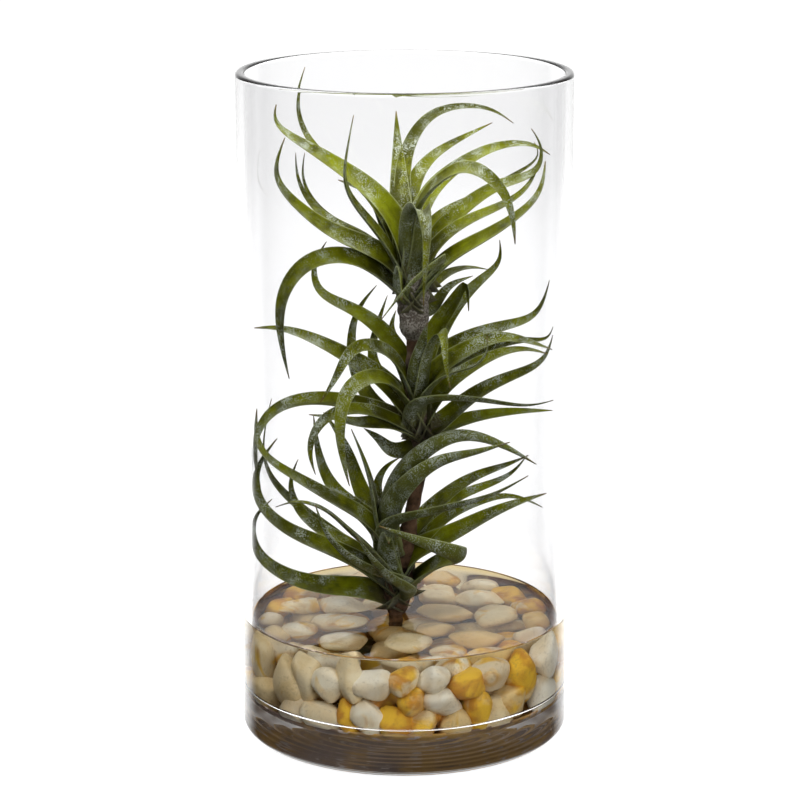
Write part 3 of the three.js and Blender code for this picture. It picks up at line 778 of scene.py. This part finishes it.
bottomLeaves = [
    [10, 60, [[-20, 75, -10], [-38, 84, -16], [-56, 93, -18], [-67, 107, -16], [-68, 121, -12],
     [-58.5, 136.5, -6]], 0.3],
    [9, 57, [[-18, 63, -4], [-38, 65.5, -6], [-57, 71.5, -8], [-69, 84, -8], [-69, 98, -6],
     [-61, 107, -2]], 0.4],
    [10, 67, [[-18, 97, -14], [-33, 107, -22], [-50, 117.5, -26], [-64, 130, -24], [-67.5, 142, -18],
     [-67, 150, -14]], 0.3],
    [9, 67, [[-9, 100, -8], [-3, 118, -16], [10, 131.5, -22], [26, 138.5, -26], [42, 134.5, -28],
     [59.5, 124.5, -28]], 0.5],
    [11, 60, [[6, 81, -6], [20, 89, -10], [36, 98, -10], [52, 105.5, -8], [65.5, 110, -6]], 0.5],
    [10.5, 57, [[10, 71, -14], [21, 78, -26], [27, 79, -38], [8, 86, -50], [-12, 94.5, -54]], 0.5],
    [9, 66, [[-8, 98, -12], [0, 113.5, -24], [15, 125, -32], [33, 130, -36], [48, 134.5, -38]], 0.4],
    [8.5, 65, [[-6, 94.5, -16], [8, 99.5, -28], [24, 104, -34], [40, 109, -36], [55.5, 119, -36]], 0.2],
    [10, 65, [[-13, 95, -6], [-15.5, 110, -10], [-19, 127, -12], [-24, 140.5, -12]], 0.4],
    [9, 66, [[-18, 98, 4], [-30, 108.5, 8], [-38, 120.5, 10], [-41, 134, 10], [-41.5, 147, 8]], 0.3],
    [9, 64, [[-14, 96, 8], [-22, 115, 16], [-28, 132, 20], [-37, 149, 22]], 0.4],
    [8, 62, [[-20, 79, 14], [-38, 92, 26], [-50, 103, 32], [-53.5, 115, 34], [-49.5, 126, 34]], 0.4],
    [7.5, 62, [[-15, 82, -20], [-27, 93, -32], [-38, 103, -40], [-48, 106, -44], [-57.5, 104, -38]], 0.3],
    [7.5, 58, [[0, 66, -16], [-12, 71, -30], [-26, 79, -40], [-35, 90, -44], [-40.5, 104.5, -44]], 0.3],
    [8, 64, [[6, 94, 6], [18, 108, 12], [33, 117.5, 14], [47, 123.5, 14], [57, 128, 12]], 0.5],
    [7, 62, [[8, 85, -2], [20, 98, -2], [35, 105.5, 0], [50, 109, 2], [63.5, 103.5, 2]], 0.6],
    [6, 57, [[2, 62, -16], [-6, 69, -32], [-15, 77.5, -44], [-22, 90, -50]], 0.4],
    [7, 66, [[-9, 100, 14], [-12.5, 112, 24], [-9, 122, 30], [-2, 127.5, 34]], 0.5],
]
# Short or slender leaves that the frame has no nodes for.
slimLeaves = [
    [5, 203, [[-20, 231, 30], [-37, 241, 42], [-46.5, 256, 45], [-45.5, 268, 44]], 0.3],
    [7, 204, [[-9, 234, 8], [-14, 245, 14], [-21, 252, 20], [-27, 256, 25]], 0.4],
    [5, 204, [[15, 238, 22], [35, 249, 30], [50, 257.5, 30], [61, 268, 26], [58.5, 272.5, 24]], 0.4],
    [5, 196, [[-4, 208, -12], [-3.5, 215, -20], [-1.5, 201, -31]], 0.6],
    [3, 197, [[1, 207, -12], [2, 212, -16], [2.5, 216.5, -18]], 0.5],
    [5, 198, [[20, 213.5, 15], [30, 216, 24], [38, 215.5, 30]], 0.3],
    [5, 194, [[12, 197, 12], [20, 206.5, 22], [27, 210.5, 28], [31.5, 212, 30]], 0.2],
    [6, 133, [[-5, 131, 4], [-11, 136, 10], [-19, 141, 16]], 0.3],
    [5.5, 140, [[-9, 162, 14], [-14.5, 175, 24], [-13, 189, 30], [-7.5, 203, 34]], 0.3],
    [7, 144, [[-2, 178, 12], [-6, 188, 20], [-4, 196.5, 24]], 0.5],
    [9, 140, [[5, 165, -8], [7, 178, -16], [10.5, 191, -24]], 0.6],
    [7, 139, [[15, 165, 10], [35, 177, 16], [55, 182.5, 14], [66, 184.5, 10], [69, 188.5, 8]], 0.4],
    [6, 64, [[-35, 92, 35], [-57, 110, 35], [-66, 133, 16], [-61.5, 155.5, 12]], 0.3],
    [11, 60, [[-9, 80, -16], [-8.5, 89, -28], [-7, 86, -38]], 0.3],
    [7, 63, [[10, 95, 14], [24, 107, 22], [38, 113.5, 24], [50, 120.5, 22], [57, 128.5, 20]], 0.5],
    [7, 66, [[-9, 100, 14], [-12.5, 112, 24], [-9, 122, 30], [-2, 127.5, 34]], 0.6],
    [5, 62, [[-4, 79, -16], [-4.5, 90, -22]], 0.5],
]
leaf = {
    "rings": 46,
    "around": 20,
    "channel": 0.42,  # how deep the blade's hollow is, as a share of half its width
    "thickness": 0.85,  # half thickness at the midrib near the base, in millimetres
    "clasp": 0.4,  # how much wider the sheath is than the blade
    "fullness": 1.4,  # the blade's width beside the stated one, just above the sheath
    "clear": 0.5,  # the least gap to the glass, in millimetres
    "frontTurn": 0.9,  # how far upper faces turn from the axis towards the front
}


# A midrib point's real place, to the millimetre: what lies behind the plane of the stem looks smaller.
def placed(seenX, seenZ, depth):
    share = depth / view["distance"]
    return [round(seenX * (1 + share)), depth, round(seenZ + share * (seenZ - view["height"]))]


# Sections along the midrib: across is half * cos(a); up is channel * cos(a)^2 plus
# thickness * sin(a); half the width falls as 1 - t^1.7 and swells into the sheath.
def leafSurface(width, baseHeight, midrib):
    base = stemAxisAt(baseHeight)
    centre = smoothPath(np.vstack([base, midrib]), leaf["rings"])
    outward = np.array([midrib[1][0] - base[0], midrib[1][1] - base[1], 0.0])
    outward = outward / np.linalg.norm(outward)
    _, side, upper = carriedFrame(centre, np.array([0, -leaf["frontTurn"], 1.0]) - outward)
    t = np.linspace(0, 1, leaf["rings"])[:, None]
    a = np.linspace(0, 2 * np.pi, leaf["around"], endpoint=False)[None, :]
    half = width / 2 * leaf["fullness"] * ((1 - t**1.7) * (1 + leaf["clasp"] * np.exp(-t / 0.07)) + 0.03)
    channel = leaf["channel"] * (1 + 0.8 * np.exp(-t / 0.1)) * half
    thick = leaf["thickness"] * (0.25 + 0.75 * (1 - t))
    groove = 1 - 0.3 * np.exp(-(np.cos(a) / 0.4) ** 2) * (np.sin(a) > 0)
    s = half * np.cos(a)
    u = channel * np.cos(a) ** 2 + thick * np.sin(a) * groove
    points = centre[:, None] + side[:, None] * s[..., None] + upper[:, None] * u[..., None]
    limit = innerRadius / mm - leaf["clear"]
    points[..., :2] *= np.minimum(1, limit / np.hypot(points[..., 0], points[..., 1]))[..., None]
    t = np.broadcast_to(t, s.shape)
    return points, t, np.broadcast_to(np.cos(a), s.shape), np.broadcast_to(np.sin(a), s.shape)


def addLeaf(name, row, node=None):
    width, baseHeight, seenPoints, tone = row
    midrib = np.array([placed(*point) for point in seenPoints], float)
    points, t, across, upper = leafSurface(width, baseHeight, midrib)
    attributes = {"along": t, "across": across, "upper": upper, "tone": np.full(t.shape, tone)}
    faces = closedSweep(leaf["rings"], leaf["around"])
    piece = newPiece(name, points.reshape(-1, 3) * mm, faces, [leafFinish], attributes)
    if node:
        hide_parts(node)


for rosette, rows in (("top", topLeaves), ("middle", middleLeaves), ("bottom", bottomLeaves)):
    for i, row in enumerate(rows):
        addLeaf(f"{rosette}Leaf{i + 1:02d}", row, f"leaf_{rosette}_{i + 1:02d}")
for i, row in enumerate(slimLeaves):
    addLeaf(f"slimLeaf{i + 1:02d}", row)
print("leaves made:", len(topLeaves) + len(middleLeaves) + len(bottomLeaves) + len(slimLeaves))


studio = {
    "cameraPlace": (0.0, -1.2207, 0.4661),
    "cameraPitch": 14.333,  # degrees below level
    "cameraTurn": 0.097,  # degrees towards -X
    "lens": 124.34,
    "floorLift": 0.86,
    "glow": 1.7,  # how strongly the floor glows under the glass: painted light that lights the bed from below
    "skyLight": 1.1,
    # What mirrors show, from the camera's side round to the far side.
    "backdrop": [(0.3, (0.8, 0.8, 0.8)), (0.45, (0.10, 0.075, 0.055)), (0.85, (0.16, 0.13, 0.11)),
                 (0.93, (0.4, 0.4, 0.4)), (1.0, (1.2, 1.2, 1.2))],
    "keyPower": 10.0,
    "fillPower": 12.0,
    "topPower": 16.0,
    "backPower": 10.0,
}


def areaLight(name, place, size, power, target=(0, 0, 0.15)):
    light = bpy.data.lights.new(name, "AREA")
    light.shape = "DISK"
    light.size = size
    light.energy = power
    holder = bpy.data.objects.new(name, light)
    holder.location = place
    holder.visible_glossy = False
    holder.visible_transmission = False
    toward = np.array(target) - np.array(place)
    holder.rotation_euler = (math.atan2(math.hypot(toward[0], toward[1]), -toward[2]), 0,
                             math.atan2(-toward[0], toward[1]))
    scene.collection.objects.link(holder)


# Whether a ray has come by refraction alone (seen), by mirroring (mirrored) or by much of it (piped).
def bounceKinds(tree):
    path = addNode(tree, "ShaderNodeLightPath")
    lit = maths(tree, "GREATER_THAN", path.outputs["Diffuse Depth"], 0.5)
    direct = maths(tree, "SUBTRACT", 1.0, lit)
    reflected = maths(tree, "GREATER_THAN", path.outputs["Glossy Depth"], 0.5)
    mirrored = maths(tree, "MULTIPLY", direct, reflected)
    seen = maths(tree, "MULTIPLY", direct, maths(tree, "SUBTRACT", 1.0, reflected))
    piped = maths(tree, "MULTIPLY", direct, maths(tree, "GREATER_THAN", path.outputs["Glossy Depth"], 1.5))
    return seen, mirrored, piped


# White where it is seen; mirrors show it pale towards the camera, dark at the sides and bright behind.
def studioWorld():
    world = bpy.data.worlds.new("studio")
    world.use_nodes = True
    tree = world.node_tree
    tree.nodes.clear()
    direction = addNode(tree, "ShaderNodeTexCoord").outputs["Generated"]
    split = addNode(tree, "ShaderNodeSeparateXYZ", {"Vector": direction})
    low, high = 0.75 * studio["skyLight"], 1.35 * studio["skyLight"]
    strength = between(tree, split.outputs["Z"], -0.6, 1.0, low, high)
    seen, mirrored, piped = bounceKinds(tree)
    forward = between(tree, split.outputs["Y"], -1.0, 1.0)
    forward.node.interpolation_type = "LINEAR"
    backdrop = colourRamp(tree, forward, studio["backdrop"])
    backdrop = mixColour(tree, between(tree, split.outputs["Z"], 0.3, 0.55), backdrop, colour(0.8, 0.8, 0.8))
    backdrop = mixColour(tree, piped, backdrop, colour(0.85, 0.84, 0.82))
    light = addNode(tree, "ShaderNodeCombineColor", {0: strength, 1: strength, 2: strength}).outputs[0]
    light = mixColour(tree, mirrored, light, backdrop)
    light = mixColour(tree, seen, light, colour(1.0, 1.0, 1.0))
    sky = addNode(tree, "ShaderNodeBackground", {"Color": light, "Strength": 1.0})
    addNode(tree, "ShaderNodeOutputWorld", {"Surface": sky.outputs[0]})
    scene.world = world


def studioFloor():
    mesh = bpy.data.meshes.new("studioFloor")
    half, level = 6, -0.0005
    corners = [(-half, -half, level), (half, -half, level), (half, half, level), (-half, half, level)]
    mesh.from_pydata(corners, [], [(0, 1, 2, 3)])
    material, tree, shader, _ = newMaterial("paleFloor")
    seen, mirrored, piped = bounceKinds(tree)
    incoming = addNode(tree, "ShaderNodeNewGeometry").outputs["Incoming"]
    split = addNode(tree, "ShaderNodeSeparateXYZ", {"Vector": incoming})
    once = maths(tree, "SUBTRACT", mirrored, piped)
    towards = between(tree, split.outputs["Y"], -0.85, -0.6, 0.15, 1.0)
    tint = mixColour(tree, maths(tree, "MULTIPLY", once, towards), colour(0.8, 0.8, 0.8), colour(0, 0, 0))
    tint = mixColour(tree, seen, tint, colour(0.16, 0.16, 0.16))
    tree.links.new(tint, shader.inputs["Base Color"])
    shader.inputs["Roughness"].default_value = 0.9
    shader.inputs["Specular IOR Level"].default_value = 0.0
    shader.inputs["Emission Color"].default_value = colour(1, 1, 1)
    place = addNode(tree, "ShaderNodeNewGeometry").outputs["Position"]
    away = addNode(tree, "ShaderNodeVectorMath", {0: place}, operation="LENGTH").outputs["Value"]
    # Painted light: under the vase the floor glows for every ray except those that reach it by refraction
    # alone, lighting the bed from below.
    glow = between(tree, away, vaseRadius, vaseRadius - 4 * mm, 0.0, studio["glow"])
    lift = mixNumber(tree, seen, glow, studio["floorLift"])
    tree.links.new(lift, shader.inputs["Emission Strength"])
    mesh.materials.append(material)
    floor = bpy.data.objects.new("studioFloor", mesh)
    scene.collection.objects.link(floor)


def studioCamera():
    camera = bpy.data.cameras.new("camera")
    camera.lens = studio["lens"]
    camera.sensor_width = 36
    camera.clip_start, camera.clip_end = 0.05, 50
    holder = bpy.data.objects.new("camera", camera)
    holder.location = studio["cameraPlace"]
    holder.rotation_euler = (math.radians(90 - studio["cameraPitch"]), 0, math.radians(studio["cameraTurn"]))
    scene.collection.objects.link(holder)
    scene.camera = holder


studioWorld()
studioFloor()
studioCamera()
areaLight("keyLight", (-0.7, -0.7, 1.1), 0.8, studio["keyPower"])
areaLight("topLight", (0.05, 0.1, 1.3), 0.7, studio["topPower"])
areaLight("backLight", (0.3, 1.1, 0.8), 0.9, studio["backPower"])
areaLight("fillLight", (0.6, -1.1, 0.4), 0.9, studio["fillPower"])
scene.view_settings.view_transform = "Standard"
scene.view_settings.look = "None"
scene.cycles.caustics_reflective = False
scene.cycles.caustics_refractive = False
scene.cycles.max_bounces = 20
scene.cycles.transmission_bounces = 20
scene.cycles.transparent_max_bounces = 16
print("studio made")
